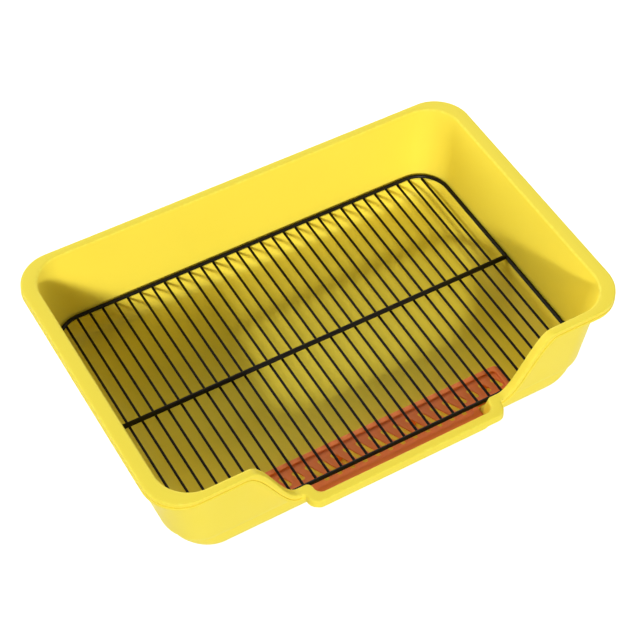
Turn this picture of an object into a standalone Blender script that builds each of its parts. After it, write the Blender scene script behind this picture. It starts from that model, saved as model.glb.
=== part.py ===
"""A small-animal litter tray, taken apart: a moulded pan with a low curved entry, a lift-out wire rack
and a slotted foot grate that sits under the rack behind the entry.
Metres, +Z up, the origin under the middle of the whole tray, the entry towards -Y.
"""

import math

import bmesh
import bpy
from mathutils import Matrix, Vector

half = 0.5

# Clearances that loose pieces keep from what they rest on or stand beside
weld_gap = 0.0003
seat_gap = 0.0003
side_gap_x = 0.0004
side_gap_y = 0.0011
grate_gap = 0.0004
grate_side_gap = 0.0008
tongue_gap = 0.0012

# Rack: thin wires on an even pitch, welded under a frame and one thick cross wire
wire_pitch = 0.0120
wire_count = 31
thin_radius = 0.00115
frame_radius = 0.0018
cross_radius = 0.0022
frame_margin_x = 0.0141
frame_half_y = 0.1237
frame_corner = 0.0280
cross_shift_y = -0.0007
wire_shift_x = 0.0011
wire_overrun = 0.0012
wire_span_half = (wire_count - 1) * half * wire_pitch
frame_half_x = wire_span_half + frame_margin_x

# Levels above the table
wall_thickness = 0.0018
floor_z = wall_thickness
drip_depth = 0.0278
entry_height = 0.0162
wall_height = 0.0751
rack_height = floor_z + drip_depth
cross_z = rack_height + cross_radius - frame_radius
thin_z = rack_height - frame_radius - weld_gap - thin_radius
thin_bottom_z = thin_z - thin_radius
short_ledge_z = rack_height - frame_radius - seat_gap
long_ledge_z = thin_bottom_z - seat_gap
rim_low_z = rack_height + entry_height
rim_high_z = rack_height + wall_height

# Foot grate: levels, from the wires that lie just over it down to the shelf that carries it
grate_thickness = 0.0030
recess_depth = 0.0015
grate_top_z = thin_bottom_z - grate_gap
panel_top_z = grate_top_z - recess_depth
grate_bottom_z = grate_top_z - grate_thickness
shelf_z = grate_bottom_z - seat_gap
leg_bottom_z = floor_z + seat_gap

# Pan: the step that the rack lies on, and the wall around the rack
ledge_under_x = 0.0010
ledge_over_y = 0.0003
seat_reach_x = 0.0009
seat_reach_y = 0.0015
seat_rise = 0.0015
ledge_half_x = frame_half_x - ledge_under_x
ledge_half_y = frame_half_y + ledge_over_y
ledge_corner = frame_corner - ledge_under_x
seat_half_x = frame_half_x + seat_reach_x
seat_half_y = frame_half_y + seat_reach_y
seat_corner = frame_corner + seat_reach_x
wall_half_x = frame_half_x + frame_radius + side_gap_x
wall_half_y = frame_half_y + frame_radius + side_gap_y
wall_corner = frame_corner + frame_radius
ledge_turn = 0.0035
ledge_turn_start = 0.0054
ledge_turn_near_x = wire_span_half + wire_shift_x + ledge_turn_start
ledge_turn_far_x = ledge_turn_near_x + ledge_turn

# Pan: how the tub draws in below the step, as shares of the draw-in at the floor, one row a level:
# lengthwise, crosswise, height and corner
floor_in_x = 0.0326
floor_in_y = 0.0098
floor_corner_loss = 0.0120
tub_shares = [
    (1.0, 1.0, 0.0, 1.0),
    (0.807, 0.54, 0.03, 0.833),
    (0.586, 0.225, 0.149, 0.667),
    (0.334, 0.04, 0.413, 0.458),
    (0.12, 0.02, 0.791, 0.25),
]

# Pan: draft of the wall up to the rim, then the rolled rim
draft_x = 0.0067
draft_y = 0.0053
rim_corner = 0.0300
rim_round = 0.0011
flange_width_x = 0.0113
flange_width_y = 0.0056
flange_corner_gain = 0.0012
lip_out = 0.0016
lip_round = 0.0019
hem_out = 0.0005
lip_drop = 0.0078
rim_half_x = wall_half_x + draft_x
rim_half_y = wall_half_y + draft_y
flange_half_x = rim_half_x + flange_width_x
flange_half_y = rim_half_y + flange_width_y
flange_corner = rim_corner + flange_corner_gain
lip_half_x = flange_half_x + lip_out
lip_half_y = flange_half_y + lip_out
lip_corner = flange_corner + lip_out
hem_half_x = lip_half_x + hem_out
hem_half_y = lip_half_y + hem_out
hem_corner = lip_corner + hem_out

# Slots of the foot grate, which set the width of the entry
slot_pitch = 0.01205
slot_width = 0.0046
long_slot_count = 12
short_slot_count = 4
slot_slant_share = 0.503

# Pan: the bump-out of the entry, its pocket and the S-shaped ends of the low rim
notch_margin = 0.0111
notch_depth = 0.0122
notch_hem_extra = 0.0005
notch_flange_x = 0.0072
notch_inner_bend = 0.0050
notch_outer_bend = 0.0066
lip_inner_bend = 0.0030
lip_outer_bend = 0.0092
pocket_draft = 0.0012
pocket_step = 0.0013
entry_flat = 0.0021
sweep_length = 0.0444
hem_shift_near = 0.0022
hem_shift_far = 0.0068
notch_half_x = long_slot_count * half * slot_pitch + notch_margin
flange_notch_half_x = notch_half_x + notch_flange_x
lip_notch_half_x = flange_notch_half_x + lip_out
hem_notch_half_x = lip_notch_half_x + hem_out
hem_notch_depth = notch_depth + notch_hem_extra
sweep_near_x = hem_notch_half_x + entry_flat
sweep_far_x = sweep_near_x + sweep_length
hem_sweep_near_x = sweep_near_x + hem_shift_near
hem_sweep_far_x = sweep_far_x + hem_shift_far
pocket_front_y = rim_half_y + notch_depth - pocket_draft
wall_notch_out = pocket_front_y - wall_half_y
seat_notch_out = pocket_front_y - pocket_step - seat_half_y

# Foot grate: a T-shaped plate with a raised border, slanted slots and legs under its back edge
wing_margin = 0.0007
wing_depth = 0.0293
wing_taper = 0.0004
tongue_root_bend = 0.0024
tongue_bend = 0.0056
grate_bend = 0.0045
border_width = 0.0043
front_border_width = 0.0120
slot_end_gap = 0.0023
slot_back_gap = 0.0050
leg_radius = 0.0032
leg_inset = 0.0046
leg_place_shares = (-0.891, -0.297, 0.297, 0.891)
cut_extra = 0.0020
weld_distance = 0.000001
flat_angle = math.radians(1)
slot_count = long_slot_count + short_slot_count + short_slot_count
grate_half_x = slot_count * half * slot_pitch + wing_margin
grate_front_y = ledge_half_y - grate_side_gap
grate_back_y = grate_front_y - wing_depth
tongue_half_x = notch_half_x - tongue_gap
tongue_front_y = pocket_front_y - pocket_step - tongue_gap
slot_back_y = grate_back_y + border_width + slot_back_gap
long_slot_front_y = tongue_front_y - front_border_width - slot_end_gap
short_slot_front_y = grate_front_y - border_width - border_width
leg_back_y = grate_back_y + leg_inset

# Number of flat pieces that stand in for each curve
corner_steps = 6
bend_steps = 4
sweep_steps = 10
side_steps = 4
back_steps = 8
notch_steps = 6
wall_steps = 3
frame_corner_steps = 8
round_steps = 4

tub_y = hem_notch_depth * half


def smooth(share):
    share = min(max(share, 0.0), 1.0)
    return share * share * (3 - 2 * share)


def blend(low, high, share):
    return low + (high - low) * share


def arc(centre_x, centre_y, radius, start, end, steps):
    """Points of an arc between two angles in quarter turns."""
    points = []
    for step in range(steps + 1):
        angle = blend(start, end, step / steps) * math.pi * half
        points.append((centre_x + radius * math.cos(angle), centre_y + radius * math.sin(angle)))
    return points


# The outline of the tub at one level. Every level has the same points in the same order, so that the
# levels can be joined. Each point also says where it is: its share of the rim's rise and of the notch.
def level(half_x, half_y, corner, notch_x, notch_out, bends, sweep):
    inner_bend, outer_bend = bends
    near_x, far_x = sweep
    straight_x = half_x - corner
    straight_y = half_y - corner
    right = []
    for step in range(notch_steps):
        share = step / notch_steps
        right.append((blend(0.0, notch_x - outer_bend, share), -half_y - notch_out, 0.0, 1.0))
    if notch_out > 0.0:
        curve = arc(notch_x - outer_bend, -half_y - notch_out + outer_bend, outer_bend, -1, 0, bend_steps)
        back = arc(notch_x + inner_bend, -half_y - inner_bend, inner_bend, 2, 1, bend_steps)
        turn = curve + back
    else:
        turn = []
        count = 2 * bend_steps + 1
        for step in range(count + 1):
            turn.append((blend(notch_x - outer_bend, notch_x + inner_bend, step / count), -half_y))
    first = bend_steps + 1
    for index, (x, y) in enumerate(turn):
        right.append((x, y, 0.0, 1.0 - smooth((index - first) / bend_steps)))
    for step in range(sweep_steps + 1):
        share = step / sweep_steps
        right.append((blend(near_x, far_x, share), -half_y, smooth(share), 0.0))
    for x, y in arc(straight_x, -straight_y, corner, -1, 0, corner_steps):
        right.append((x, y, 1.0, 0.0))
    for step in range(1, side_steps):
        right.append((half_x, blend(-straight_y, straight_y, step / side_steps), 1.0, 0.0))
    for x, y in arc(straight_x, straight_y, corner, 0, 1, corner_steps):
        right.append((x, y, 1.0, 0.0))
    for step in range(1, back_steps):
        right.append((blend(straight_x, 0.0, step / back_steps), half_y, 1.0, 0.0))
    middle_back = (0.0, half_y, 1.0, 0.0)
    left = [(-x, y, rise, notch) for x, y, rise, notch in reversed(right[1:])]
    return right + [middle_back] + left


# The step under the rack is lower along the long sides, where the thin wires end, and lowest at the notch
def ledge_level(x, notch):
    side = smooth((abs(x) - ledge_turn_near_x) / (ledge_turn_far_x - ledge_turn_near_x))
    return blend(blend(long_ledge_z, short_ledge_z, side), shelf_z, notch)


def rim_level(rise):
    return blend(rim_low_z, rim_high_z, rise)


def make_rings():
    inner = (notch_inner_bend, notch_outer_bend)
    outer = (lip_inner_bend, lip_outer_bend)
    sweep = (sweep_near_x, sweep_far_x)
    hem_sweep = (hem_sweep_near_x, hem_sweep_far_x)
    rings = []
    for share_x, share_y, share_z, share_corner in tub_shares:
        half_x = ledge_half_x - share_x * floor_in_x
        half_y = ledge_half_y - share_y * floor_in_y
        corner = ledge_corner - share_corner * floor_corner_loss
        z = blend(floor_z, shelf_z, share_z)
        points = level(half_x, half_y, corner, notch_half_x, 0.0, inner, sweep)
        rings.append([(x, y, z) for x, y, rise, notch in points])
    points = level(ledge_half_x, ledge_half_y, ledge_corner, notch_half_x, 0.0, inner, sweep)
    rings.append([(x, y, ledge_level(x, notch)) for x, y, rise, notch in points])
    seat_points = level(seat_half_x, seat_half_y, seat_corner, notch_half_x, seat_notch_out, inner, sweep)
    rings.append([(x, y, ledge_level(x, notch)) for x, y, rise, notch in seat_points])
    wall_points = level(wall_half_x, wall_half_y, wall_corner, notch_half_x, wall_notch_out, inner, sweep)
    wall = [(x, y, ledge_level(x, notch) + seat_rise) for x, y, rise, notch in wall_points]
    rim_points = level(rim_half_x, rim_half_y, rim_corner, notch_half_x, notch_depth, inner, sweep)
    rim = [(x, y, rim_level(rise) - rim_round) for x, y, rise, notch in rim_points]
    for step in range(wall_steps + 1):
        share = step / wall_steps
        rings.append([tuple(Vector(a).lerp(Vector(b), share)) for a, b in zip(wall, rim)])
    top_points = level(rim_half_x + rim_round, rim_half_y + rim_round, rim_corner + rim_round,
                       notch_half_x + rim_round, notch_depth, inner, sweep)
    rings.append([(x, y, rim_level(rise)) for x, y, rise, notch in top_points])
    flange_points = level(flange_half_x, flange_half_y, flange_corner,
                          flange_notch_half_x, notch_depth, outer, sweep)
    rings.append([(x, y, rim_level(rise)) for x, y, rise, notch in flange_points])
    lip_points = level(lip_half_x, lip_half_y, lip_corner, lip_notch_half_x, hem_notch_depth, outer, sweep)
    rings.append([(x, y, rim_level(rise) - lip_round) for x, y, rise, notch in lip_points])
    hem_points = level(hem_half_x, hem_half_y, hem_corner, hem_notch_half_x, hem_notch_depth, outer, hem_sweep)
    rings.append([(x, y, rim_level(rise) - lip_drop) for x, y, rise, notch in hem_points])
    return rings


# Scene: cleared first, then one collection for the tray and one for cutters
for old in list(bpy.data.objects):
    bpy.data.objects.remove(old)
tray = bpy.data.collections.new("litter_tray")
cutters = bpy.data.collections.new("cutters")
bpy.context.scene.collection.children.link(tray)
bpy.context.scene.collection.children.link(cutters)
cutters.hide_render = True


def make_material(name, colour, roughness, metallic=0.0):
    material = bpy.data.materials.new(name)
    material.use_nodes = True
    shader = material.node_tree.nodes["Principled BSDF"]
    shader.inputs["Base Color"].default_value = (*colour, 1.0)
    shader.inputs["Roughness"].default_value = roughness
    shader.inputs["Metallic"].default_value = metallic
    return material


yellow_plastic = make_material("yellow_plastic", (0.93, 0.78, 0.10), 0.45)
black_wire = make_material("black_wire", (0.02, 0.02, 0.02), 0.35)
orange_plastic = make_material("orange_plastic", (0.78, 0.20, 0.05), 0.5)


def add_object(name, data, home, material):
    thing = bpy.data.objects.new(name, data)
    home.objects.link(thing)
    if material:
        data.materials.append(material)
    return thing


def shade_smooth(thing):
    for polygon in thing.data.polygons:
        polygon.use_smooth = True


def to_mesh(thing, home, material):
    """Replaces a curve with its mesh, with the ends welded."""
    graph = bpy.context.evaluated_depsgraph_get()
    data = bpy.data.meshes.new_from_object(thing.evaluated_get(graph))
    edit = bmesh.new()
    edit.from_mesh(data)
    bmesh.ops.remove_doubles(edit, verts=edit.verts, dist=weld_distance)
    if thing.data.dimensions == "2D":
        bmesh.ops.dissolve_limit(edit, angle_limit=flat_angle, verts=edit.verts, edges=edit.edges)
    bmesh.ops.recalc_face_normals(edit, faces=edit.faces)
    edit.to_mesh(data)
    edit.free()
    place = thing.matrix_world.copy()
    name = thing.name
    bpy.data.objects.remove(thing)
    solid = add_object(name, data, home, None)
    solid.matrix_world = place
    data.materials.clear()
    data.materials.append(material)
    return solid


# Pan: one open skin from the floor up the walls and over the rim, given its thickness outwards
def make_pan():
    edit = bmesh.new()
    rings = make_rings()
    rows = []
    for ring in rings:
        rows.append([edit.verts.new((x, y + tub_y, z)) for x, y, z in ring])
    count = len(rows[0])
    edit.faces.new(rows[0])
    for lower, upper in zip(rows, rows[1:]):
        for index in range(count):
            after = (index + 1) % count
            edit.faces.new((lower[index], upper[index], upper[after], lower[after]))
    bmesh.ops.recalc_face_normals(edit, faces=edit.faces)
    floor_face = min(edit.faces, key=lambda face: face.calc_center_median().z)
    if floor_face.normal.z < 0.0:
        bmesh.ops.reverse_faces(edit, faces=edit.faces)
    data = bpy.data.meshes.new("pan")
    edit.to_mesh(data)
    edit.free()
    pan = add_object("pan", data, tray, yellow_plastic)
    thicken = pan.modifiers.new("wall", "SOLIDIFY")
    thicken.thickness = wall_thickness
    thicken.offset = -1
    thicken.use_even_offset = True
    shade_smooth(pan)
    return pan


# Rack: the frame is one closed wire bent at four corners
def frame_path():
    x = frame_half_x - frame_corner
    y = frame_half_y - frame_corner
    path = []
    quarters = [(x, y, 0), (-x, y, 1), (-x, -y, 2), (x, -y, 3)]
    for centre_x, centre_y, start in quarters:
        path += arc(centre_x, centre_y, frame_corner, start, start + 1, frame_corner_steps)
    return path


def make_wire(name, path, radius, steps, closed, place):
    data = bpy.data.curves.new(name, "CURVE")
    data.dimensions = "3D"
    data.bevel_depth = radius
    data.bevel_resolution = steps
    data.use_fill_caps = True
    spline = data.splines.new("POLY")
    spline.points.add(len(path) - 1)
    for point, (x, y, z) in zip(spline.points, path):
        point.co = (x, y, z, 1.0)
    spline.use_cyclic_u = closed
    wire = add_object(name, data, tray, None)
    wire.location = place
    bpy.context.view_layer.update()
    wire = to_mesh(wire, tray, black_wire)
    shade_smooth(wire)
    return wire


def wire_end(x):
    """How far a thin wire reaches before it meets the frame, which bends away at the corners."""
    beyond = abs(x) - (frame_half_x - frame_corner)
    if beyond <= 0.0:
        return frame_half_y + wire_overrun
    return frame_half_y - frame_corner + math.sqrt(frame_corner ** 2 - beyond ** 2) + wire_overrun


def make_rack():
    pieces = []
    path = [(x, y, 0.0) for x, y in frame_path()]
    pieces.append(make_wire("rack_frame", path, frame_radius, round_steps, True, (0.0, tub_y, rack_height)))
    reach = frame_half_x - frame_radius - weld_gap
    path = [(-reach, 0.0, 0.0), (reach, 0.0, 0.0)]
    place = (0.0, tub_y + cross_shift_y, cross_z)
    pieces.append(make_wire("rack_cross_wire", path, cross_radius, round_steps, False, place))
    for index in range(wire_count):
        x = index * wire_pitch - wire_span_half + wire_shift_x
        reach = wire_end(x)
        path = [(0.0, -reach, 0.0), (0.0, reach, 0.0)]
        name = f"rack_wire_{index + 1:02d}"
        pieces.append(make_wire(name, path, thin_radius, round_steps, False, (x, tub_y, thin_z)))
    return pieces


# Foot grate: outline with rounded corners, drawn as a flat curve that is given its thickness
def rounded(corners):
    """Points of an outline whose corners are (x, y, bend), with each corner rounded by its bend."""
    points = []
    count = len(corners)
    for index, (x, y, bend) in enumerate(corners):
        corner = Vector((x, y))
        before = (Vector(corners[index - 1][:2]) - corner).normalized()
        after = (Vector(corners[(index + 1) % count][:2]) - corner).normalized()
        centre = corner + (before + after) * bend
        start = corner + before * bend - centre
        end = corner + after * bend - centre
        for step in range(corner_steps + 1):
            angle = math.pi * half * step / corner_steps
            points.append(tuple(centre + start * math.cos(angle) + end * math.sin(angle)))
    return points


def grate_outline(inset, front_inset):
    wide = grate_half_x - inset
    tongue = tongue_half_x - inset
    right = [
        (wide, -grate_back_y - inset, grate_bend),
        (wide, -grate_front_y + inset, grate_bend),
        (tongue, -grate_front_y + inset + wing_taper, tongue_root_bend),
        (tongue, -tongue_front_y + front_inset, tongue_bend),
    ]
    left = [(-x, y, bend) for x, y, bend in reversed(right)]
    return rounded(left + right)


def make_slab(name, points, bottom, top, home, material):
    data = bpy.data.curves.new(name, "CURVE")
    data.dimensions = "2D"
    data.fill_mode = "BOTH"
    data.extrude = (top - bottom) * half
    spline = data.splines.new("POLY")
    spline.points.add(len(points) - 1)
    for point, (x, y) in zip(spline.points, points):
        point.co = (x, y, 0.0, 1.0)
    spline.use_cyclic_u = True
    slab = add_object(name, data, home, None)
    slab.location = (0.0, tub_y, (top + bottom) * half)
    bpy.context.view_layer.update()
    return to_mesh(slab, home, material)


def cut(thing, group_name, tools, operation):
    """Takes a group of cutters away from a piece, or adds them to it, in one step."""
    group = bpy.data.collections.new(group_name)
    cutters.children.link(group)
    for tool in tools:
        cutters.objects.unlink(tool)
        group.objects.link(tool)
        tool.display_type = "WIRE"
        tool.hide_render = True
    step = thing.modifiers.new(group_name, "BOOLEAN")
    step.operation = operation
    step.solver = "EXACT"
    step.operand_type = "COLLECTION"
    step.collection = group


def slot_outline(x, front_y):
    """A slot with round ends that leans sideways on its way to the front."""
    radius = slot_width * half
    middle = (slot_back_y + long_slot_front_y) * half
    back = Vector((x + (slot_back_y + radius - middle) * slot_slant_share, -slot_back_y - radius))
    front = Vector((x + (front_y - radius - middle) * slot_slant_share, -front_y + radius))
    lean = math.atan2(front.y - back.y, front.x - back.x) / (math.pi * half)
    points = arc(front.x, front.y, radius, lean - 1, lean + 1, corner_steps)
    points += arc(back.x, back.y, radius, lean + 1, lean + 3, corner_steps)
    return points


def make_grate():
    grate = make_slab("foot_grate", grate_outline(0.0, 0.0), grate_bottom_z, grate_top_z,
                      tray, orange_plastic)
    recess = make_slab("grate_recess", grate_outline(border_width, front_border_width),
                       panel_top_z, grate_top_z + cut_extra, cutters, orange_plastic)
    cut(grate, "grate_recess", [recess], "DIFFERENCE")
    slots = []
    for index in range(slot_count):
        x = (index - (slot_count - 1) * half) * slot_pitch
        inside = short_slot_count <= index < short_slot_count + long_slot_count
        front_y = long_slot_front_y if inside else short_slot_front_y
        slot = make_slab(f"grate_slot_{index + 1:02d}", slot_outline(x, front_y),
                         grate_bottom_z - cut_extra, grate_top_z + cut_extra, cutters, orange_plastic)
        slots.append(slot)
    cut(grate, "grate_slots", slots, "DIFFERENCE")
    legs = []
    for index, share in enumerate(leg_place_shares):
        ring = arc(share * grate_half_x, -leg_back_y, leg_radius, 0, 4, corner_steps + corner_steps)[:-1]
        leg = make_slab(f"grate_leg_{index + 1}", ring, leg_bottom_z, panel_top_z - weld_gap,
                        cutters, orange_plastic)
        legs.append(leg)
    cut(grate, "grate_legs", legs, "UNION")
    return grate


def hang(pieces, name, place):
    """Parents the pieces of one moving body to an empty on its joint."""
    joint = bpy.data.objects.new(name, None)
    tray.objects.link(joint)
    joint.location = place
    for piece in pieces:
        piece.parent = joint
        piece.matrix_parent_inverse = Matrix.Translation(Vector(place)).inverted()


make_pan()
hang(make_rack(), "rack_lift", (0.0, tub_y, rack_height))
hang([make_grate()], "foot_grate_lift", (0.0, tub_y - grate_front_y, grate_top_z))
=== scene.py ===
import math

import bmesh
import bpy
from mathutils import Matrix, Vector


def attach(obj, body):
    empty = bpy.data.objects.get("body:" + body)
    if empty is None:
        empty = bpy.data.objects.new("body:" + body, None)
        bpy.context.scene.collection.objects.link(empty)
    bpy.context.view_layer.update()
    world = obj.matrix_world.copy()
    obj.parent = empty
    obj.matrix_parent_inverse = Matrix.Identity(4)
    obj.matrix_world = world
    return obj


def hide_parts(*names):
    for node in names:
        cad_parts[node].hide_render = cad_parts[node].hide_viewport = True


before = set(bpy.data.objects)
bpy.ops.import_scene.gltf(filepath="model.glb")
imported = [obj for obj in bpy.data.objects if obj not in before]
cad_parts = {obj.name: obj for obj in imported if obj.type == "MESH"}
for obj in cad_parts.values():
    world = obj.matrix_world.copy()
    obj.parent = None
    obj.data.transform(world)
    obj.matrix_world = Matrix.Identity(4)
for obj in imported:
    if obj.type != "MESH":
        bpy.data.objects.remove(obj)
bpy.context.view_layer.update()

# Pan: one injection-moulded shell of soft yellow plastic. Its wall steps out to carry the rack,
# leans out to a rolled rim with a hanging skirt, and dips in two S-shaped sweeps to a low entry
# that bumps forward over a small pocket.
half = 0.5
tub_y = 0.00635
wall_thickness = 0.0018
floor_z = wall_thickness
floor_margin = 0.006
rack_z = 0.0296
shelf_z = 0.0215
long_ledge_z = 0.0249
short_ledge_z = 0.0275
rim_low_z = 0.0458
rim_high_z = 0.1047
# Outlines from the step up to the hem: half the length, half the width and the corner's radius
ledge_size = (0.1931, 0.1240, 0.0270)
seat_size = (0.1950, 0.1252, 0.0289)
wall_size = (0.1963, 0.1266, 0.0298)
rim_size = (0.2030, 0.1319, 0.0300)
lip_size = (0.2159, 0.1391, 0.0328)
hem_size = (0.2164, 0.1396, 0.0333)
# How the tub draws in below the step: at the floor, and as shares of that, one row a level, lengthwise,
# crosswise, in height and at the corner
floor_draw_in = (0.0326, 0.0098, 0.0120)
tub_shares = [
    (1.0, 1.0, 0.0, 1.0),
    (0.807, 0.54, 0.03, 0.833),
    (0.586, 0.225, 0.149, 0.667),
    (0.334, 0.04, 0.413, 0.458),
    (0.12, 0.02, 0.791, 0.25),
]
# Small steps between the outlines, and the fillets of the upper and the under side
seat_rise = 0.0015
lip_drop = 0.0078
ledge_fillet = 0.0016
seat_fillet = 0.0008
wall_fillet = 0.0012
rim_fillet = 0.0024
lip_fillet = 0.0018
hem_fillet = 0.0005
under_ledge_fillet = 0.0040
under_seat_fillet = 0.0020
under_wall_fillet = 0.0045
under_rim_fillet = 0.0018
under_lip_fillet = 0.0008
fillet_reach = 0.45
groove_top_share = 0.50
groove_foot_share = 0.66
groove_depth = 0.0011
skirt_fillets = [0.0009, 0.0002, 0.0002, 0.0004]
# Where the step changes height, the bump-out of the entry, its pocket and the S-shaped sweeps
ledge_turn_near_x = 0.1865
ledge_turn_far_x = 0.1900
pocket_front_y = 0.1429
pocket_step = 0.0013
notch_depth = 0.0122
lip_notch_depth = 0.0127
notch_half_x = 0.0834
lip_notch_half_x = 0.0922
hem_notch_half_x = 0.0927
inner_bends = (0.0050, 0.0066)
outer_bends = (0.0030, 0.0092)
rim_sweep = (0.0948, 0.1392)
hem_sweep = (0.0970, 0.1460)
# Number of flat pieces that stand in for each curve
corner_steps = 20
bend_steps = 8
sweep_steps = 32
wall_steps = 5
side_steps = 10
notch_steps = 12
fillet_steps = 5
column_steps = 4


def smooth(share):
    share = min(max(share, 0.0), 1.0)
    return share * share * (3 - 2 * share)


def blend(low, high, share):
    return low + (high - low) * share


def arc(centre_x, centre_y, radius, start, end, steps):
    """Points of an arc between two angles in quarter turns."""
    points = []
    for step in range(steps + 1):
        angle = blend(start, end, step / steps) * math.pi * half
        points.append((centre_x + radius * math.cos(angle), centre_y + radius * math.sin(angle)))
    return points


def outline(size, notch_x, notch_out, bends, sweep):
    """The tub's outline at one level: x, y, share of the rim's rise and share of the notch."""
    half_x, half_y, corner = size
    inner_bend, outer_bend = bends
    near_x, far_x = sweep
    straight_x = half_x - corner
    straight_y = half_y - corner
    right = []
    for step in range(notch_steps):
        right.append(((notch_x - outer_bend) * step / notch_steps, -half_y - notch_out, 0.0, 1.0))
    if notch_out > 0.0:
        turn = arc(notch_x - outer_bend, outer_bend - half_y - notch_out, outer_bend, -1, 0, bend_steps)
        turn += arc(notch_x + inner_bend, -half_y - inner_bend, inner_bend, 2, 1, bend_steps)
    else:
        count = 2 * bend_steps + 1
        turn = [(blend(notch_x - outer_bend, notch_x + inner_bend, step / count), -half_y)
                for step in range(count + 1)]
    for index, (x, y) in enumerate(turn):
        right.append((x, y, 0.0, 1.0 - smooth((index - bend_steps - 1) / bend_steps)))
    for step in range(sweep_steps + 1):
        share = step / sweep_steps
        right.append((blend(near_x, far_x, share), -half_y, smooth(share), 0.0))
    for x, y in arc(straight_x, -straight_y, corner, -1, 0, corner_steps):
        right.append((x, y, 1.0, 0.0))
    for step in range(1, side_steps):
        right.append((half_x, blend(-straight_y, straight_y, step / side_steps), 1.0, 0.0))
    for x, y in arc(straight_x, straight_y, corner, 0, 1, corner_steps):
        right.append((x, y, 1.0, 0.0))
    for step in range(1, side_steps):
        right.append((blend(straight_x, 0.0, step / side_steps), half_y, 1.0, 0.0))
    left = [(-x, y, rise, notch) for x, y, rise, notch in reversed(right[1:])]
    return right + [(0.0, half_y, 1.0, 0.0)] + left


def ledge_level(x, notch):
    """Height of the step in the wall: higher along the two ends, lowest in the entry's pocket."""
    side = smooth((abs(x) - ledge_turn_near_x) / (ledge_turn_far_x - ledge_turn_near_x))
    return blend(blend(long_ledge_z, short_ledge_z, side), shelf_z, notch)


def tub_size(shares):
    """The tub's size at a level below the rack, from its shares of the whole draw-in."""
    return tuple(full - share * loss for full, share, loss in zip(ledge_size, shares, floor_draw_in))


def curve_through(points, steps):
    """A smooth curve through all but the first and last of the points."""
    made = []
    for before, start, end, after in zip(points, points[1:], points[2:], points[3:]):
        for step in range(steps):
            share = step / steps
            lift = (end - before) * half
            sink = (after - start) * half
            square = share * share
            cube = square * share
            made.append(start * (2 * cube - 3 * square + 1) + lift * (cube - 2 * square + share)
                        + end * (3 * square - 2 * cube) + sink * (cube - square))
    made.append(points[-2])
    return made


def pan_rings():
    """The rings of the upper skin from the floor to the hem, each with the size of its fillet."""
    low = []
    inset = tub_size((1.0, 1.0, 1.0))
    inset = (inset[0] - floor_margin, inset[1] - floor_margin, inset[2])
    for size, height in [(inset, 0.0)] + [(tub_size((a, b, d)), c) for a, b, c, d in tub_shares]:
        z = blend(floor_z, shelf_z, height)
        points = outline(size, notch_half_x, 0.0, inner_bends, rim_sweep)
        low.append([Vector((x, y, z)) for x, y, rise, notch in points])
    points = outline(ledge_size, notch_half_x, 0.0, inner_bends, rim_sweep)
    ledge = [Vector((x, y, ledge_level(x, notch))) for x, y, rise, notch in points]
    columns = []
    for column in zip(*low, ledge):
        beyond = column[-1] * 2 - column[-2]
        columns.append([column[0]] + curve_through(list(column) + [beyond], column_steps))
    rings = [(list(ring), 0.0) for ring in zip(*columns)]
    rings[-1] = (rings[-1][0], ledge_fillet)
    seat_out = pocket_front_y - pocket_step - seat_size[1]
    points = outline(seat_size, notch_half_x, seat_out, inner_bends, rim_sweep)
    rings.append(([Vector((x, y, ledge_level(x, notch))) for x, y, rise, notch in points], seat_fillet))
    points = outline(wall_size, notch_half_x, pocket_front_y - wall_size[1], inner_bends, rim_sweep)
    wall = [Vector((x, y, ledge_level(x, notch) + seat_rise)) for x, y, rise, notch in points]
    points = outline(rim_size, notch_half_x, notch_depth, inner_bends, rim_sweep)
    rim = [Vector((x, y, blend(rim_low_z, rim_high_z, rise))) for x, y, rise, notch in points]
    for step in range(wall_steps):
        share = step / wall_steps
        fillet = 0.0 if step else wall_fillet
        rings.append(([low.lerp(high, share) for low, high in zip(wall, rim)], fillet))
    rings.append((rim, rim_fillet))
    points = outline(lip_size, lip_notch_half_x, lip_notch_depth, outer_bends, rim_sweep)
    rings.append(([Vector((x, y, blend(rim_low_z, rim_high_z, rise))) for x, y, rise, notch in points],
                  lip_fillet))
    points = outline(hem_size, hem_notch_half_x, lip_notch_depth, outer_bends, hem_sweep)
    rings.append(([Vector((x, y, blend(rim_low_z, rim_high_z, rise) - lip_drop))
                   for x, y, rise, notch in points], hem_fillet))
    return rings


def skirt_groove(lip, hem):
    """Rings of a narrow groove that runs round the skirt above the hem and fades out at the bump-out."""
    made = []
    notches = [point[3] for point in
               outline(hem_size, hem_notch_half_x, lip_notch_depth, outer_bends, hem_sweep)]
    for share, deep in ((groove_top_share, 0.0), (groove_top_share, 1.0), (groove_foot_share, 1.0),
                        (groove_foot_share, 0.0)):
        ring = []
        count = len(lip)
        for index, (high, low) in enumerate(zip(lip, hem)):
            along = hem[(index + 1) % count] - hem[index - 1]
            inward = Vector((-along.y, along.x, 0.0)).normalized()
            depth = groove_depth * deep * (1.0 - notches[index])
            ring.append(high.lerp(low, share) + inward * depth)
        made.append(ring)
    return made


def join_rings(edit, rings, closed):
    """Makes a skin of faces between rings and closes its first end, and its last if it is closed."""
    rows = [[edit.verts.new((x, y + tub_y, z)) for x, y, z in ring] for ring in rings]
    count = len(rows[0])
    for lower, upper in zip(rows, rows[1:]):
        for index in range(count):
            after = (index + 1) % count
            edit.faces.new((lower[index], upper[index], upper[after], lower[after]))
    edit.faces.new(rows[0])
    if closed:
        edit.faces.new(rows[-1])
    bmesh.ops.recalc_face_normals(edit, faces=edit.faces)


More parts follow.
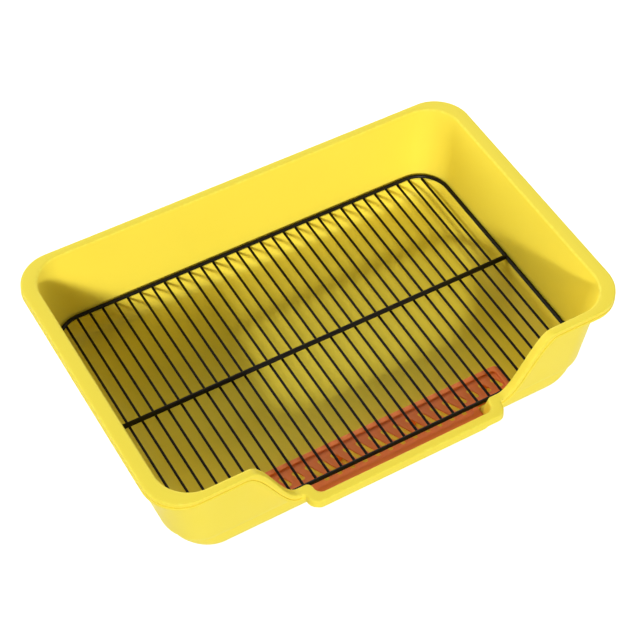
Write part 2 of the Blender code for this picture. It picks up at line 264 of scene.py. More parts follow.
def offset_rings(rings):
    """The same rings on the under side of the skin, one wall thickness away."""
    edit = bmesh.new()
    join_rings(edit, rings, False)
    floor = min(edit.faces, key=lambda face: face.calc_center_median().z)
    if floor.normal.z < 0.0:
        bmesh.ops.reverse_faces(edit, faces=edit.faces)
    data = bpy.data.meshes.new("skin")
    edit.to_mesh(data)
    edit.free()
    skin = bpy.data.objects.new("skin", data)
    bpy.context.scene.collection.objects.link(skin)
    wall = skin.modifiers.new("wall", "SOLIDIFY")
    wall.thickness = wall_thickness
    wall.offset = -1
    wall.use_even_offset = True
    bpy.context.view_layer.update()
    solid = skin.evaluated_get(bpy.context.evaluated_depsgraph_get()).to_mesh()
    total = len(data.vertices)
    places = [vertex.co - Vector((0.0, tub_y, 0.0)) for vertex in solid.vertices][total:2 * total]
    bpy.data.objects.remove(skin)
    bpy.data.meshes.remove(data)
    count = len(rings[0])
    return [places[start:start + count] for start in range(0, total, count)]


def round_rings(rings, fillets, steps):
    """Replaces each ring that has a fillet by a short curve between its two neighbours.

    The marks say how near each row is to the middle of its curve, where an edge is painted paler, as
    rubbed wear and as a painted highlight.
    """
    made = []
    marks = []
    last = len(rings) - 1
    for index, (ring, fillet) in enumerate(zip(rings, fillets)):
        if not fillet or index in (0, last):
            made.append(ring)
            marks.append(0.0)
            continue
        rows = [[] for step in range(steps + 1)]
        for before, here, after in zip(rings[index - 1], ring, rings[index + 1]):
            back = before - here
            on = after - here
            start = here + back.normalized() * min(fillet, back.length * fillet_reach)
            end = here + on.normalized() * min(fillet, on.length * fillet_reach)
            for step, row in enumerate(rows):
                share = step / steps
                row.append(start.lerp(here, share).lerp(here.lerp(end, share), share))
        made += rows
        marks += [4 * step * (steps - step) / steps ** 2 for step in range(steps + 1)]
    return made, marks


upper = pan_rings()
upper_rings = [ring for ring, fillet in upper]
upper_fillets = [fillet for ring, fillet in upper]
under_rings = offset_rings(upper_rings)
under_fillets = list(upper_fillets)
under_fillets[-1] = hem_fillet
under_fillets[-2] = under_lip_fillet
under_fillets[-3] = under_rim_fillet
under_fillets[-3 - wall_steps] = under_wall_fillet
under_fillets[-4 - wall_steps] = under_seat_fillet
under_fillets[-5 - wall_steps] = under_ledge_fillet
skirt_rings = skirt_groove(upper_rings[-2], upper_rings[-1])
pan_levels, pan_rub_and_highlight_marks = round_rings(upper_rings[:-1] + skirt_rings + upper_rings[-1:] + under_rings[::-1],
                                    upper_fillets[:-1] + skirt_fillets + upper_fillets[-1:]
                                    + under_fillets[::-1], fillet_steps)
edit = bmesh.new()
join_rings(edit, pan_levels, True)
pan_data = bpy.data.meshes.new("pan_shell")
edit.to_mesh(pan_data)
edit.free()
ring_size = len(upper_rings[0])
# Each row's mark paints its rounded edge paler, as rubbed wear and as a painted highlight.
rub_and_highlight = pan_data.attributes.new("rub_and_highlight", "FLOAT", "POINT")
rub_and_highlight.data.foreach_set("value", [mark for mark in pan_rub_and_highlight_marks for index in range(ring_size)])
pan_shell = bpy.data.objects.new("pan_shell", pan_data)
bpy.context.scene.collection.objects.link(pan_shell)


def shade_smooth(thing):
    thing.data.polygons.foreach_set("use_smooth", [True] * len(thing.data.polygons))
    thing.data.update()


def add_node(tree, kind, links=None, **settings):
    """Adds a node, sets its own values, then links or sets its inputs."""
    node = tree.nodes.new(kind)
    for name, value in settings.items():
        setattr(node, name, value)
    for key, value in (links or {}).items():
        if isinstance(value, bpy.types.NodeSocket):
            tree.links.new(value, node.inputs[key])
        else:
            node.inputs[key].default_value = value
    return node


def noise(tree, place, scale, detail):
    return add_node(tree, "ShaderNodeTexNoise", {"Vector": place, "Scale": scale,
                                                 "Detail": detail}).outputs["Fac"]


def mix_colours(tree, share, first, second):
    """A blend of two colours, which a Mix node takes in its sockets 6 and 7 and gives out in its 2."""
    return add_node(tree, "ShaderNodeMix", {0: share, 6: first, 7: second}, data_type="RGBA").outputs[2]


broad_detail = 2.0
cloud_detail = 3.0
fine_detail = 4.0
cloud_scale = 14.0
scuff_scale = 240.0
scuff_span = (0.42, 0.66)
scuff_share = 0.55
scuff_dulling = 0.25
flow_scale = 55.0
gloss_spread = (-0.05, 0.07)
grain_strength = 0.35
grain_height = 0.00004


def moulded_plastic(name, colour, deep_colour, rub_and_highlight_colour, shine, roughness, grain_scale):
    """Satin plastic: a fine mould grain, soft flow clouds and rubbed edges, where a mesh marks them,
    painted paler as a highlight.
    """
    material = bpy.data.materials.new(name)
    material.use_nodes = True
    tree = material.node_tree
    shader = tree.nodes["Principled BSDF"]
    place = add_node(tree, "ShaderNodeTexCoord").outputs["Object"]
    cloud = noise(tree, place, cloud_scale, cloud_detail)
    tint = mix_colours(tree, cloud, (*colour, 1.0), (*deep_colour, 1.0))
    # Marked rounded edges turn paler: rubbed wear, and a painted highlight along the rims and lips.
    rub_and_highlight = add_node(tree, "ShaderNodeAttribute", attribute_name="rub_and_highlight")
    scuff = noise(tree, place, scuff_scale, fine_detail)
    patchy = add_node(tree, "ShaderNodeMapRange", {
        "Value": scuff, "From Min": scuff_span[0], "From Max": scuff_span[1], "To Max": scuff_share})
    rub_and_highlight_share = add_node(tree, "ShaderNodeMath", {0: rub_and_highlight.outputs["Fac"], 1: patchy.outputs["Result"]},
                    operation="MULTIPLY")
    paint = mix_colours(tree, rub_and_highlight_share.outputs[0], tint, (*rub_and_highlight_colour, 1.0))
    flow = noise(tree, place, flow_scale, fine_detail)
    gloss = add_node(tree, "ShaderNodeMapRange", {
        "Value": flow, "To Min": roughness + gloss_spread[0], "To Max": roughness + gloss_spread[1]})
    dull = add_node(tree, "ShaderNodeMath", {0: rub_and_highlight_share.outputs[0], 1: scuff_dulling,
                                             2: gloss.outputs["Result"]}, operation="MULTIPLY_ADD")
    grain = noise(tree, place, grain_scale, cloud_detail)
    bump = add_node(tree, "ShaderNodeBump", {"Height": grain, "Strength": grain_strength,
                                             "Distance": grain_height})
    shader.inputs["Specular IOR Level"].default_value = shine
    tree.links.new(paint, shader.inputs["Base Color"])
    tree.links.new(dull.outputs[0], shader.inputs["Roughness"])
    tree.links.new(bump.outputs["Normal"], shader.inputs["Normal"])
    return material


# The rub colour is a brighter yellow: rubbed wear, and a painted highlight along the rim and lip edges.
yellow_plastic = moulded_plastic("yellow_plastic", colour=(0.97, 0.798, 0.082),
                                 deep_colour=(0.95, 0.768, 0.070), rub_and_highlight_colour=(1.0, 0.90, 0.115),
                                 shine=0.12, roughness=0.40, grain_scale=1500.0)
pan_data.materials.append(yellow_plastic)
shade_smooth(pan_shell)
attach(pan_shell, "pan")
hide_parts("pan")

# Rack frame: one steel wire bent to a rounded rectangle, butt-welded in the middle of its back run
# and dipped in black plastic with the rest of the rack.
frame_radius = 0.0018
frame_half_x = 0.1941
frame_half_y = 0.1237
frame_corner = 0.0280
frame_corner_steps = 20
frame_sides = 20
weld_half = 0.0022
weld_swell = 1.12
weld_taper = 1.6
merge_distance = 0.000001
black = (0.004, 0.003, 0.002, 1.0)
worn_black = (0.009, 0.007, 0.005, 1.0)
coat_gloss = (0.36, 0.52)
coat_shine = 0.22
coat_cloud_scale = 90.0
lump_scale = 420.0
lump_height = 0.0002
lump_strength = 0.5
peel_scale = 2600.0
peel_height = 0.00003
peel_strength = 0.25


def black_coating():
    """Plastic dipped over steel: near black, satin, with slow lumps and a fine orange peel."""
    material = bpy.data.materials.new("black_wire")
    material.use_nodes = True
    tree = material.node_tree
    shader = tree.nodes["Principled BSDF"]
    place = add_node(tree, "ShaderNodeTexCoord").outputs["Object"]
    cloud = noise(tree, place, coat_cloud_scale, cloud_detail)
    tint = mix_colours(tree, cloud, black, worn_black)
    gloss = add_node(tree, "ShaderNodeMapRange", {"Value": cloud, "To Min": coat_gloss[0],
                                                  "To Max": coat_gloss[1]})
    lumps = noise(tree, place, lump_scale, broad_detail)
    peel = noise(tree, place, peel_scale, broad_detail)
    swell = add_node(tree, "ShaderNodeBump", {"Height": lumps, "Strength": lump_strength,
                                              "Distance": lump_height})
    bump = add_node(tree, "ShaderNodeBump", {"Height": peel, "Strength": peel_strength,
                                             "Distance": peel_height, "Normal": swell.outputs["Normal"]})
    shader.inputs["Specular IOR Level"].default_value = coat_shine
    tree.links.new(tint, shader.inputs["Base Color"])
    tree.links.new(gloss.outputs["Result"], shader.inputs["Roughness"])
    tree.links.new(bump.outputs["Normal"], shader.inputs["Normal"])
    return material


black_wire = black_coating()


def sweep_wire(name, path, radius, closed, swell=None):
    """A round wire along a path, as one closed mesh. swell gives each point's share of the radius."""
    data = bpy.data.curves.new(name, "CURVE")
    data.dimensions = "3D"
    data.bevel_depth = radius
    data.bevel_resolution = frame_sides // 4 - 1
    data.use_fill_caps = not closed
    spline = data.splines.new("POLY")
    spline.points.add(len(path) - 1)
    for index, (point, place) in enumerate(zip(spline.points, path)):
        point.co = (*place, 1.0)
        if swell:
            point.radius = swell[index]
    spline.use_cyclic_u = closed
    drawn = bpy.data.objects.new(name, data)
    bpy.context.scene.collection.objects.link(drawn)
    graph = bpy.context.evaluated_depsgraph_get()
    mesh = bpy.data.meshes.new_from_object(drawn.evaluated_get(graph))
    bpy.data.objects.remove(drawn)
    edit = bmesh.new()
    edit.from_mesh(mesh)
    bmesh.ops.remove_doubles(edit, verts=edit.verts, dist=merge_distance)
    bmesh.ops.recalc_face_normals(edit, faces=edit.faces)
    edit.to_mesh(mesh)
    edit.free()
    mesh.materials.clear()
    mesh.materials.append(black_wire)
    wire = bpy.data.objects.new(name, mesh)
    bpy.context.scene.collection.objects.link(wire)
    shade_smooth(wire)
    return wire


frame_path = [(-weld_half, frame_half_y), (-weld_half * weld_taper, frame_half_y)]
corner_x = frame_half_x - frame_corner
corner_y = frame_half_y - frame_corner
for centre_x, centre_y, start in [(-corner_x, corner_y, 1), (-corner_x, -corner_y, 2),
                                  (corner_x, -corner_y, 3), (corner_x, corner_y, 0)]:
    frame_path += arc(centre_x, centre_y, frame_corner, start, start + 1, frame_corner_steps)
frame_path += [(x, frame_half_y) for x in (weld_half * weld_taper, weld_half, weld_half * half, 0.0,
                                           -weld_half * half)]
frame_swell = [1.0] * (len(frame_path) - 3) + [weld_swell] * 3
rack_frame_wire = sweep_wire("rack_frame_wire", [(x, y + tub_y, rack_z) for x, y in frame_path],
                             frame_radius, True, frame_swell)
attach(rack_frame_wire, "rack")
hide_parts("rack_frame")

# Cross wire: a straight wire a little thicker than the frame's, laid over the thin wires from side to
# side and welded to the inside of the frame at both ends.
cross_radius = 0.0022
cross_shift_y = -0.0007
cross_z = rack_z + cross_radius - frame_radius
cross_bite = 0.7
cross_reach = frame_half_x - frame_radius * cross_bite
cross_path = [(x, tub_y + cross_shift_y, cross_z) for x in (-cross_reach, -cross_reach * half, 0.0,
                                                           cross_reach * half, cross_reach)]
rack_cross_bar = sweep_wire("rack_cross_bar", cross_path, cross_radius, False)
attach(rack_cross_bar, "rack")
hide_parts("rack_cross_wire")

# Thin wires: 31 straight drawn wires on an even pitch under the frame. Each is cut to reach the frame,
# which bends away at the corners, and the dipped coating rounds its ends. All lie a little to the back.
wire_pitch = 0.0120
wire_count = 31
wire_shift_x = 0.0011
thin_radius = 0.00115
weld_gap = 0.0003
wire_overrun = -0.0001
wire_slip_y = 0.0009
thin_z = rack_z - frame_radius - weld_gap - thin_radius
wire_sides = 14
wire_points = 8
end_thickness = 0.12


def new_tree(name, inputs):
    """A geometry node tree with named inputs, of which the first may be the mesh it works on."""
    tree = bpy.data.node_groups.new(name, "GeometryNodeTree")
    sockets = {}
    for label, kind, value in inputs:
        made = tree.interface.new_socket(label, in_out="INPUT", socket_type=kind)
        if value is not None:
            made.default_value = value
        sockets[label] = made.identifier
    tree.interface.new_socket("Geometry", in_out="OUTPUT", socket_type="NodeSocketGeometry")
    return tree, sockets, tree.nodes.new("NodeGroupInput").outputs, tree.nodes.new("NodeGroupOutput")


def sums(tree, operation, *values):
    return add_node(tree, "ShaderNodeMath", dict(enumerate(values)), operation=operation).outputs[0]


def run_tree(name, tree, sockets, values, base=None):
    """Runs a tree on an empty mesh, or on a base object, and keeps the result as a plain mesh."""
    start = base or bpy.data.objects.new(name, bpy.data.meshes.new(name))
    if not base:
        bpy.context.scene.collection.objects.link(start)
    step = start.modifiers.new("nodes", "NODES")
    step.node_group = tree
    for label, value in values.items():
        step[sockets[label]] = value
    bpy.context.view_layer.update()
    graph = bpy.context.evaluated_depsgraph_get()
    mesh = bpy.data.meshes.new_from_object(start.evaluated_get(graph))
    start.modifiers.remove(step)
    bpy.data.objects.remove(start)
    mesh.name = name
    made = bpy.data.objects.new(name, mesh)
    bpy.context.scene.collection.objects.link(made)
    return made


def keep_value(tree, geometry, label, value):
    """Stores a number on each point of a geometry under a name."""
    return add_node(tree, "GeometryNodeStoreNamedAttribute", {
        "Geometry": geometry, "Name": label, "Value": value}, data_type="FLOAT", domain="POINT").outputs[0]


def wire_tree():
    """A row of wires: each starts as eight points, four at either end that round the end off."""
    tree, sockets, given, result = new_tree("thin_wires", [
        ("Count", "NodeSocketInt", 1), ("Pitch", "NodeSocketFloat", 1.0),
        ("Radius", "NodeSocketFloat", 1.0), ("Sides", "NodeSocketInt", 3),
        ("Frame half length", "NodeSocketFloat", 1.0), ("Frame half width", "NodeSocketFloat", 1.0),
        ("Frame corner", "NodeSocketFloat", 1.0), ("Overrun", "NodeSocketFloat", 1.0),
        ("Height", "NodeSocketFloat", 1.0), ("Shift", "NodeSocketFloat", 1.0),
        ("Middle", "NodeSocketFloat", 1.0), ("Material", "NodeSocketMaterial", None)])
    point_number = add_node(tree, "GeometryNodeInputIndex").outputs[0]
    last_point = wire_points - 1.0
    from_end = sums(tree, "MINIMUM", point_number, sums(tree, "SUBTRACT", last_point, point_number))
    angle = sums(tree, "MULTIPLY", from_end, math.pi / (wire_points - 2))
    second_half = sums(tree, "GREATER_THAN", point_number, last_point * half)
    side = sums(tree, "SUBTRACT", sums(tree, "MULTIPLY", second_half, 2.0), 1.0)
    rounding = sums(tree, "SUBTRACT", 1.0, sums(tree, "COSINE", angle))
    inward = sums(tree, "MULTIPLY", given["Radius"], rounding)
    thickness = sums(tree, "MAXIMUM", sums(tree, "SINE", angle), end_thickness)
    row = add_node(tree, "GeometryNodeMeshLine", {"Count": given["Count"]}, mode="OFFSET")
    spot = add_node(tree, "ShaderNodeCombineXYZ", {0: given["Pitch"]})
    tree.links.new(spot.outputs[0], row.inputs["Offset"])
    to_first = sums(tree, "MULTIPLY", given["Pitch"], -half)
    first = sums(tree, "MULTIPLY", sums(tree, "SUBTRACT", given["Count"], 1.0), to_first)
    first = sums(tree, "ADD", first, given["Shift"])
    start = add_node(tree, "ShaderNodeCombineXYZ", {0: first, 1: given["Middle"], 2: given["Height"]})
    tree.links.new(start.outputs[0], row.inputs["Start Location"])
    here = add_node(tree, "GeometryNodeInputPosition").outputs[0]
    across = add_node(tree, "ShaderNodeSeparateXYZ", {0: here})
    straight_x = sums(tree, "SUBTRACT", given["Frame half length"], given["Frame corner"])
    straight_y = sums(tree, "SUBTRACT", given["Frame half width"], given["Frame corner"])
    past_straight = sums(tree, "SUBTRACT", sums(tree, "ABSOLUTE", across.outputs[0]), straight_x)
    beyond = sums(tree, "MAXIMUM", past_straight, 0.0)
    corner_square = sums(tree, "MULTIPLY", given["Frame corner"], given["Frame corner"])
    beyond_square = sums(tree, "MULTIPLY", beyond, beyond)
    bend = sums(tree, "SQRT", sums(tree, "SUBTRACT", corner_square, beyond_square))
    reach = sums(tree, "ADD", sums(tree, "ADD", straight_y, bend), given["Overrun"])
    row_kept = keep_value(tree, row.outputs[0], "reach", reach)
    pin = add_node(tree, "GeometryNodeMeshLine", {"Count": wire_points, "Offset": (0.0, 0.0, 0.0)},
                   mode="OFFSET").outputs[0]
    for label, value in (("inward", inward), ("side", side), ("thick", thickness)):
        pin = keep_value(tree, pin, label, value)
    placed = add_node(tree, "GeometryNodeInstanceOnPoints", {"Points": row_kept, "Instance": pin})
    real = add_node(tree, "GeometryNodeRealizeInstances", {0: placed.outputs[0]})
    named = {}
    for label in ("reach", "inward", "side", "thick"):
        named[label] = add_node(tree, "GeometryNodeInputNamedAttribute", {"Name": label},
                                data_type="FLOAT").outputs[0]
    slide = sums(tree, "MULTIPLY", named["side"], sums(tree, "SUBTRACT", named["reach"], named["inward"]))
    shift = add_node(tree, "ShaderNodeCombineXYZ", {1: slide})
    spread = add_node(tree, "GeometryNodeSetPosition", {"Geometry": real.outputs[0],
                                                        "Offset": shift.outputs[0]})
    lines = add_node(tree, "GeometryNodeMeshToCurve", {"Mesh": spread.outputs[0]})
    ring = add_node(tree, "GeometryNodeCurvePrimitiveCircle", {"Resolution": given["Sides"],
                                                               "Radius": given["Radius"]})
    sized = add_node(tree, "GeometryNodeSetCurveRadius", {"Curve": lines.outputs[0],
                                                          "Radius": named["thick"]})
    skin = add_node(tree, "GeometryNodeCurveToMesh", {"Curve": sized.outputs[0],
                                                      "Profile Curve": ring.outputs[0], "Fill Caps": True})
    if "Scale" in skin.inputs:
        tree.links.new(named["thick"], skin.inputs["Scale"])
    rounded = add_node(tree, "GeometryNodeSetShadeSmooth", {"Geometry": skin.outputs[0]})
    plain = add_node(tree, "GeometryNodeRealizeInstances", {0: rounded.outputs[0]})
    coated = add_node(tree, "GeometryNodeSetMaterial", {"Geometry": plain.outputs[0],
                                                        "Material": given["Material"]})
    tree.links.new(coated.outputs[0], result.inputs[0])
    return tree, sockets


tree, sockets = wire_tree()
rack_thin_wires = run_tree("rack_thin_wires", tree, sockets, {
    "Count": wire_count, "Pitch": wire_pitch, "Radius": thin_radius, "Sides": wire_sides,
    "Frame half length": frame_half_x, "Frame half width": frame_half_y, "Frame corner": frame_corner,
    "Overrun": wire_overrun, "Height": thin_z, "Shift": wire_shift_x,
    "Middle": tub_y + wire_slip_y, "Material": black_wire})
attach(rack_thin_wires, "rack")
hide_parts(*[f"rack_wire_{index + 1:02d}" for index in range(wire_count)])

# Weld spots: where a thin wire is resistance-welded under the frame or the cross wire, the coating
# runs into a small swollen bead that bridges the two.
bead_size = (0.0013, 0.0011, 0.0006)
bead_z = rack_z - frame_radius - weld_gap * half


def bead_tree():
    """One bead on each point of the piece it is run on."""
    tree, sockets, given, result = new_tree("weld_beads", [
        ("Geometry", "NodeSocketGeometry", None), ("Size", "NodeSocketVector", (1.0, 1.0, 1.0)),
        ("Material", "NodeSocketMaterial", None)])
    ball = add_node(tree, "GeometryNodeMeshIcoSphere", {"Radius": 1.0, "Subdivisions": 2})
    placed = add_node(tree, "GeometryNodeInstanceOnPoints", {"Points": given["Geometry"],
                                                             "Instance": ball.outputs[0],
                                                             "Scale": given["Size"]})
    real = add_node(tree, "GeometryNodeRealizeInstances", {0: placed.outputs[0]})
    rounded = add_node(tree, "GeometryNodeSetShadeSmooth", {"Geometry": real.outputs[0]})
    coated = add_node(tree, "GeometryNodeSetMaterial", {"Geometry": rounded.outputs[0],
                                                        "Material": given["Material"]})
    tree.links.new(coated.outputs[0], result.inputs[0])
    return tree, sockets


def point_cloud(name, places):
    data = bpy.data.meshes.new(name)
    data.from_pydata([tuple(place) for place in places], [], [])
    thing = bpy.data.objects.new(name, data)
    bpy.context.scene.collection.objects.link(thing)
    return thing


crossings = []
for index in range(wire_count):
    x = (index - (wire_count - 1) * half) * wire_pitch + wire_shift_x
    beyond = max(abs(x) - corner_x, 0.0)
    reach = corner_y + math.sqrt(frame_corner ** 2 - beyond ** 2)
    crossings += [(x, tub_y + y, bead_z) for y in (-reach, cross_shift_y, reach)]
tree, sockets = bead_tree()
rack_weld_beads = run_tree("rack_weld_beads", tree, sockets, {"Size": bead_size, "Material": black_wire},
                           point_cloud("crossings", crossings))
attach(rack_weld_beads, "rack")

# Foot grate: a T-shaped tray insert of orange plastic. A raised border stands round a lower panel, the
# panel is pierced by slots that lean one way, and round legs under its back edge stand on the floor.
grate_half_x = 0.1212
grate_front_y = 0.1232
grate_back_y = 0.0939
wing_taper = 0.0004
tongue_half_x = 0.0828
tongue_front_y = 0.1404
grate_corner = 0.0045
tongue_root = 0.0024
tongue_corner = 0.0056
grate_top_z = 0.0248
panel_top_z = 0.0233
grate_bottom_z = 0.0218
border_width = 0.0043
front_border_width = 0.0120
panel_margin = 0.0006
edge_fillet = 0.0006
step_fillet = 0.0004
slot_pitch = 0.01205
slot_width = 0.0046
slot_back_y = 0.1032
long_front_y = 0.1248
short_front_y = 0.1146
slot_slant_share = 0.503
long_slots = 12
short_slots = 4
leg_radius = 0.0032
foot_radius = 0.0029
leg_bottom_z = 0.0021
leg_y = -0.0985
leg_xs = (-0.1080, -0.0360, 0.0360, 0.1080)
leg_sink = 0.0005
leg_sides = 32
slot_sides = 24
cut_depth = 0.008
grate_corner_steps = 8
plate_fillet_steps = 3
panel_fillet_share = 0.3
edge_bevel = 0.0003
bevel_turn = math.radians(50)


def rounded(corners, steps):
    """Points of an outline whose corners are (x, y, bend), with each corner rounded by its bend."""
    points = []
    for index, (x, y, bend) in enumerate(corners):
        corner = Vector((x, y))
        before = (Vector(corners[index - 1][:2]) - corner).normalized()
        after = (Vector(corners[(index + 1) % len(corners)][:2]) - corner).normalized()
        centre = corner + (before + after) * bend
        for step in range(steps + 1):
            angle = math.pi * half * step / steps
            points.append(centre - after * bend * math.cos(angle) - before * bend * math.sin(angle))
    return points


def grate_ring(inset, front_inset, z):
    """The T-shaped outline of the grate at one level, with an inset all round and one at the front."""
    wide = grate_half_x - inset
    tongue = tongue_half_x - inset
    right = [(wide, -grate_back_y - inset, grate_corner),
             (wide, -grate_front_y + inset, grate_corner),
             (tongue, -grate_front_y + inset + wing_taper, tongue_root),
             (tongue, -tongue_front_y + front_inset, tongue_corner)]
    left = [(-x, y, bend) for x, y, bend in reversed(right)]
    return [Vector((x, y, z)) for x, y in rounded(left + right, grate_corner_steps)]


def grate_tree():
    """Pierces the plate with a row of leaning slots and joins legs to it."""
    tree, sockets, given, result = new_tree("foot_grate", [
        ("Geometry", "NodeSocketGeometry", None), ("Slot pitch", "NodeSocketFloat", 1.0),
        ("Slot width", "NodeSocketFloat", 1.0), ("Slots", "NodeSocketInt", 1),
        ("Short slots each side", "NodeSocketInt", 0), ("Back", "NodeSocketVector", None),
        ("Long front", "NodeSocketVector", None), ("Short front", "NodeSocketVector", None),
        ("Cut depth", "NodeSocketFloat", 1.0), ("Legs", "NodeSocketObject", None),
        ("Leg radius", "NodeSocketFloat", 1.0), ("Foot radius", "NodeSocketFloat", 1.0),
        ("Leg height", "NodeSocketFloat", 1.0), ("Material", "NodeSocketMaterial", None)])
    radius = sums(tree, "MULTIPLY", given["Slot width"], half)
    pin = add_node(tree, "GeometryNodeMeshCylinder", {"Vertices": slot_sides, "Radius": radius,
                                                      "Depth": given["Cut depth"]})
    shapes = []
    for label in ("Long front", "Short front"):
        join = tree.nodes.new("GeometryNodeJoinGeometry")
        for end in (given["Back"], given[label]):
            moved = add_node(tree, "GeometryNodeTransform", {"Geometry": pin.outputs[0],
                                                             "Translation": end})
            tree.links.new(moved.outputs[0], join.inputs[0])
        shapes.append(add_node(tree, "GeometryNodeConvexHull", {0: join.outputs[0]}).outputs[0])
    last_slot = sums(tree, "SUBTRACT", given["Slots"], 1.0)
    first = sums(tree, "MULTIPLY", last_slot, sums(tree, "MULTIPLY", given["Slot pitch"], -half))
    start = add_node(tree, "ShaderNodeCombineXYZ", {0: first})
    spot = add_node(tree, "ShaderNodeCombineXYZ", {0: given["Slot pitch"]})
    row = add_node(tree, "GeometryNodeMeshLine", {"Count": given["Slots"], "Offset": spot.outputs[0],
                                                  "Start Location": start.outputs[0]}, mode="OFFSET")
    number = add_node(tree, "GeometryNodeInputIndex").outputs[0]
    near_end = sums(tree, "MINIMUM", number, sums(tree, "SUBTRACT", last_slot, number))
    last_short = sums(tree, "SUBTRACT", given["Short slots each side"], half)
    is_long = sums(tree, "GREATER_THAN", near_end, last_short)
    is_short = sums(tree, "SUBTRACT", 1.0, is_long)
    cutters = tree.nodes.new("GeometryNodeJoinGeometry")
    for shape, chosen in zip(shapes, (is_long, is_short)):
        placed = add_node(tree, "GeometryNodeInstanceOnPoints", {
            "Points": row.outputs[0], "Selection": chosen, "Instance": shape})
        tree.links.new(placed.outputs[0], cutters.inputs[0])
    real = add_node(tree, "GeometryNodeRealizeInstances", {0: cutters.outputs[0]})
    pierced = add_node(tree, "GeometryNodeMeshBoolean", {
        "Mesh 1": given["Geometry"], "Mesh 2": real.outputs[0]}, operation="DIFFERENCE", solver="EXACT")
    feet = add_node(tree, "GeometryNodeObjectInfo", {"Object": given["Legs"]})
    leg = add_node(tree, "GeometryNodeMeshCone", {"Vertices": leg_sides,
                                                  "Radius Top": given["Leg radius"],
                                                  "Radius Bottom": given["Foot radius"],
                                                  "Depth": given["Leg height"]})
    stood = add_node(tree, "GeometryNodeInstanceOnPoints", {"Points": feet.outputs["Geometry"],
                                                            "Instance": leg.outputs[0]})
    legs = add_node(tree, "GeometryNodeRealizeInstances", {0: stood.outputs[0]})
    whole = add_node(tree, "GeometryNodeMeshBoolean", {"Mesh 2": pierced.outputs[0]}, operation="UNION",
                     solver="EXACT")
    tree.links.new(legs.outputs[0], whole.inputs["Mesh 2"])
    plain = add_node(tree, "GeometryNodeRealizeInstances", {0: whole.outputs[0]})
    coated = add_node(tree, "GeometryNodeSetMaterial", {"Geometry": plain.outputs[0],
                                                        "Material": given["Material"]})
    tree.links.new(coated.outputs[0], result.inputs[0])
    return tree, sockets


orange_plastic = moulded_plastic("orange_plastic", colour=(1.0, 0.262, 0.070),
                                 deep_colour=(0.98, 0.235, 0.060), rub_and_highlight_colour=(1.0, 0.38, 0.14),
                                 shine=0.3, roughness=0.44, grain_scale=1300.0)
plate_insets = [(border_width, border_width, grate_bottom_z), (0.0, 0.0, grate_bottom_z),
                (0.0, 0.0, grate_top_z), (border_width, front_border_width, grate_top_z)]
plate_insets += [(border_width + margin, front_border_width + margin, panel_top_z)
                 for margin in (panel_margin * half, panel_margin)]
plate_fillets = [0.0, step_fillet, edge_fillet, step_fillet, panel_margin * panel_fillet_share, 0.0]
plate_levels = round_rings([grate_ring(*inset) for inset in plate_insets], plate_fillets,
                           plate_fillet_steps)[0]
edit = bmesh.new()
join_rings(edit, plate_levels, True)
plate_data = bpy.data.meshes.new("plate")
edit.to_mesh(plate_data)
edit.free()
plate = bpy.data.objects.new("plate", plate_data)
bpy.context.scene.collection.objects.link(plate)
leg_height = panel_top_z - leg_sink - leg_bottom_z
leg_spots = point_cloud("leg_spots", [(x, tub_y + leg_y, leg_bottom_z) for x in leg_xs])


def slot_end(y, middle):
    """Centre of the round end of a slot, which leans about the middle of the long slots."""
    return (-(y + middle) * slot_slant_share, y + tub_y, (grate_top_z + grate_bottom_z) * half)


slot_middle = (slot_back_y + long_front_y) * half
tree, sockets = grate_tree()
foot_grate_plate = run_tree("foot_grate_plate", tree, sockets, {
    "Slot pitch": slot_pitch, "Slot width": slot_width, "Slots": long_slots + short_slots * 2,
    "Short slots each side": short_slots, "Back": slot_end(-slot_back_y - slot_width * half, slot_middle),
    "Long front": slot_end(-long_front_y + slot_width * half, slot_middle),
    "Short front": slot_end(-short_front_y + slot_width * half, slot_middle),
    "Cut depth": cut_depth, "Legs": leg_spots, "Leg radius": leg_radius, "Foot radius": foot_radius,
    "Leg height": leg_height, "Material": orange_plastic}, plate)
bpy.data.objects.remove(leg_spots)
bevel = foot_grate_plate.modifiers.new("edges", "BEVEL")
bevel.width = edge_bevel
bevel.segments = 2
bevel.limit_method = "ANGLE"
bevel.angle_limit = bevel_turn
shade_smooth(foot_grate_plate)
weigh = foot_grate_plate.modifiers.new("normals", "WEIGHTED_NORMAL")
weigh.keep_sharp = True
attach(foot_grate_plate, "foot_grate")
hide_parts("foot_grate")

# Floor, lights and camera: a plain pale floor with a light of its own, a low key light from the front
# left (a sharp core in a soft halo), broad soft boxes in the world, and the photograph's long lens.
floor_half = 6.0
floor_sink = 0.0001
floor_white = (0.93, 0.93, 0.93, 1.0)
floor_roughness = 0.9
key_travel = (0.98, 2.45, -1.0)
key_strength = 2.00
key_angle = 5.0
halo_strength = 0.72
halo_angle = 14.0
floor_travel = (0.0, 0.0, -1.0)
floor_strength = 3.4
floor_angle = 12.0
soft_boxes = [(90, 10, 1.12), (135, 10, 1.3), (180, 10, 2.13), (225, 10, 2.62), (20, 45, 0.24),
              (0, -25, 0.42), (270, -25, 0.12)]
box_half_angle = 50.0
horizon_span = (-0.02, 0.08)
sensor_mm = 36.0
lens_mm = 99.756
camera_right = Vector((0.86391048, -0.50328914, 0.01894008))
camera_down = Vector((-0.38120942, -0.67800834, -0.62847758))
camera_forward = Vector((0.32914747, 0.53572823, -0.77759707))
camera_place = Vector((-0.48988, -0.79452, 1.21807))
floor_data = bpy.data.meshes.new("studio_floor")
edit = bmesh.new()
bmesh.ops.create_grid(edit, x_segments=1, y_segments=1, size=floor_half)
bmesh.ops.translate(edit, verts=edit.verts, vec=(0.0, 0.0, -floor_sink))
edit.to_mesh(floor_data)
edit.free()
studio_floor = bpy.data.objects.new("studio_floor", floor_data)
bpy.context.scene.collection.objects.link(studio_floor)
floor_paint = bpy.data.materials.new("floor_paint")
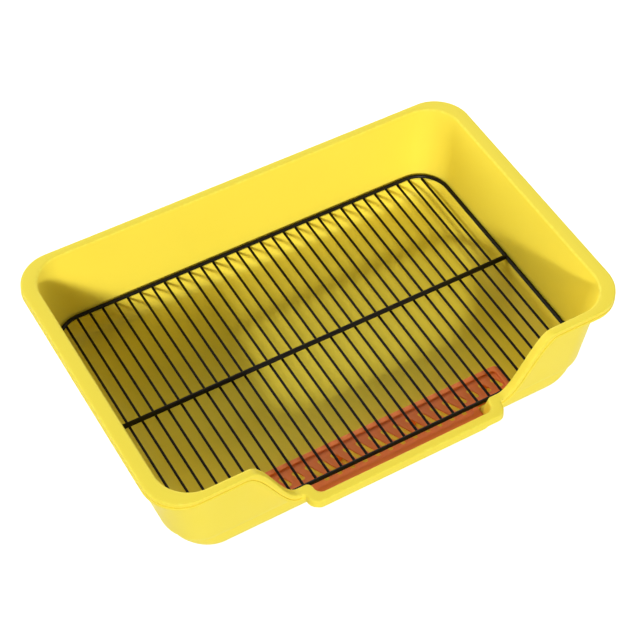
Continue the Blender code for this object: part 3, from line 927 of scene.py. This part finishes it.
floor_paint.use_nodes = True
floor_shader = floor_paint.node_tree.nodes["Principled BSDF"]
floor_shader.inputs["Base Color"].default_value = floor_white
floor_shader.inputs["Roughness"].default_value = floor_roughness
floor_data.materials.append(floor_paint)
studio_floor.visible_diffuse = False
studio_floor.visible_shadow = False


def add_sun(name, travel, strength, angle, group, state):
    """A far light whose rays travel along a direction, kept on the floor or kept off it."""
    data = bpy.data.lights.new(name, "SUN")
    data.energy = strength
    data.angle = math.radians(angle)
    data.use_shadow = state == "EXCLUDE"
    lamp = bpy.data.objects.new(name, data)
    bpy.context.scene.collection.objects.link(lamp)
    lamp.rotation_euler = Vector(travel).to_track_quat("-Z", "Y").to_euler()
    linked = bpy.data.collections.new(group)
    linked.objects.link(studio_floor)
    linked.collection_objects[0].light_linking.link_state = state
    lamp.light_linking.receiver_collection = linked
    return lamp


add_sun("key_light", key_travel, key_strength, key_angle, "key_light_spares", "EXCLUDE")
add_sun("key_halo", key_travel, halo_strength, halo_angle, "key_halo_spares", "EXCLUDE")
add_sun("floor_light", floor_travel, floor_strength, floor_angle, "floor_light_takes", "INCLUDE")
box_edge = math.cos(math.radians(box_half_angle))
world = bpy.data.worlds.new("studio")
bpy.context.scene.world = world
world.use_nodes = True
sky = world.node_tree
look = add_node(sky, "ShaderNodeTexCoord").outputs["Generated"]
height = add_node(sky, "ShaderNodeSeparateXYZ", {0: look}).outputs[2]
above = add_node(sky, "ShaderNodeMapRange", {
    "Value": height, "From Min": horizon_span[0], "From Max": horizon_span[1]},
    interpolation_type="SMOOTHSTEP").outputs["Result"]
below = sums(sky, "SUBTRACT", 1.0, above)
level = None
for azimuth, elevation, strength in soft_boxes:
    across = math.cos(math.radians(elevation))
    aim = (math.sin(math.radians(azimuth)) * across, -math.cos(math.radians(azimuth)) * across,
           math.sin(math.radians(elevation)))
    facing = add_node(sky, "ShaderNodeVectorMath", {0: look, 1: aim}, operation="DOT_PRODUCT")
    inside = add_node(sky, "ShaderNodeMapRange", {
        "Value": facing.outputs["Value"], "From Min": box_edge, "To Max": strength},
        interpolation_type="SMOOTHSTEP").outputs["Result"]
    inside = sums(sky, "MULTIPLY", inside, above if elevation > 0 else below)
    level = sums(sky, "ADD", level, inside) if level else inside
sky.nodes["Background"].inputs["Color"].default_value = (1.0, 1.0, 1.0, 1.0)
sky.links.new(level, sky.nodes["Background"].inputs["Strength"])
bpy.context.scene.view_settings.view_transform = "Standard"

camera_data = bpy.data.cameras.new("camera")
camera_data.sensor_width = sensor_mm
camera_data.lens = lens_mm
camera = bpy.data.objects.new("camera", camera_data)
bpy.context.scene.collection.objects.link(camera)
turn = Matrix((camera_right, -camera_down, -camera_forward)).transposed().to_4x4()
camera.matrix_world = Matrix.Translation(camera_place) @ turn
bpy.context.scene.camera = camera
